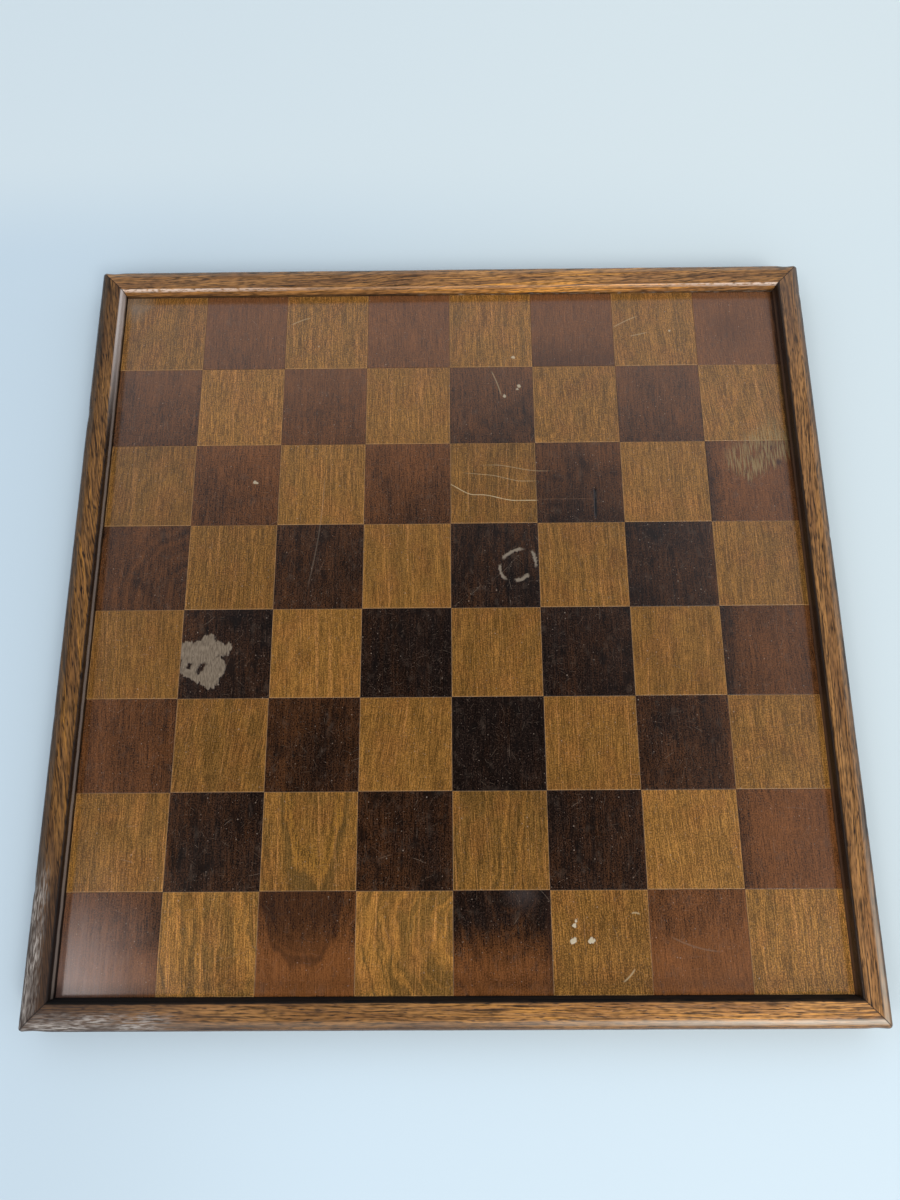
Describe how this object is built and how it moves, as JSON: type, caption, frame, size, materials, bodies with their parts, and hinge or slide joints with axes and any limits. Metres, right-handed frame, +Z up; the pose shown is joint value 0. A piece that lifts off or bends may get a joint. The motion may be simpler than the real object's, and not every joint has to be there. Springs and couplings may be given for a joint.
{
  "type": "chess board",
  "caption": "Rigid wooden chess board: chequered squares of dark and light wood in a raised, mitred, rounded oak rim.",
  "frame": {"origin": "middle of the footprint, on the table under the rails", "axes": "+Z up from the table through the playing surface; +X to the near player's right; +Y away from the near player"},
  "size_m": [0.4366, 0.4366, 0.0244],
  "materials": {
    "rail_oak": "fumed oak, old shellac, rubbed satin",
    "dark_square_wood": "dark stained hardwood, old shellac, soft gloss",
    "light_square_wood": "golden tan hardwood, old shellac, soft gloss",
    "ground_softwood": "bare aged softwood, planed",
    "pin_steel": "dull drawn wire",
    "stopping_wax": "hard brown wax, matt"
  },
  "bodies": {
    "root": {"near_rail": "rail_oak", "right_rail": "rail_oak", "far_rail": "rail_oak", "left_rail": "rail_oak", "ground_board_1": "ground_softwood", "ground_board_2": "ground_softwood", "ground_board_3": "ground_softwood", "ground_board_4": "ground_softwood", "rank_1_dark_squares": "dark_square_wood", "rank_1_light_squares": "light_square_wood", "rank_2_dark_squares": "dark_square_wood", "rank_2_light_squares": "light_square_wood", "rank_3_dark_squares": "dark_square_wood", "rank_3_light_squares": "light_square_wood", "rank_4_dark_squares": "dark_square_wood", "rank_4_light_squares": "light_square_wood", "rank_5_dark_squares": "dark_square_wood", "rank_5_light_squares": "light_square_wood", "rank_6_dark_squares": "dark_square_wood", "rank_6_light_squares": "light_square_wood", "rank_7_dark_squares": "dark_square_wood", "rank_7_light_squares": "light_square_wood", "rank_8_dark_squares": "dark_square_wood", "rank_8_light_squares": "light_square_wood", "rail_pins": "pin_steel", "mitre_pins": "pin_steel", "pin_stopping": "stopping_wax"}
  },
  "joints": []
}
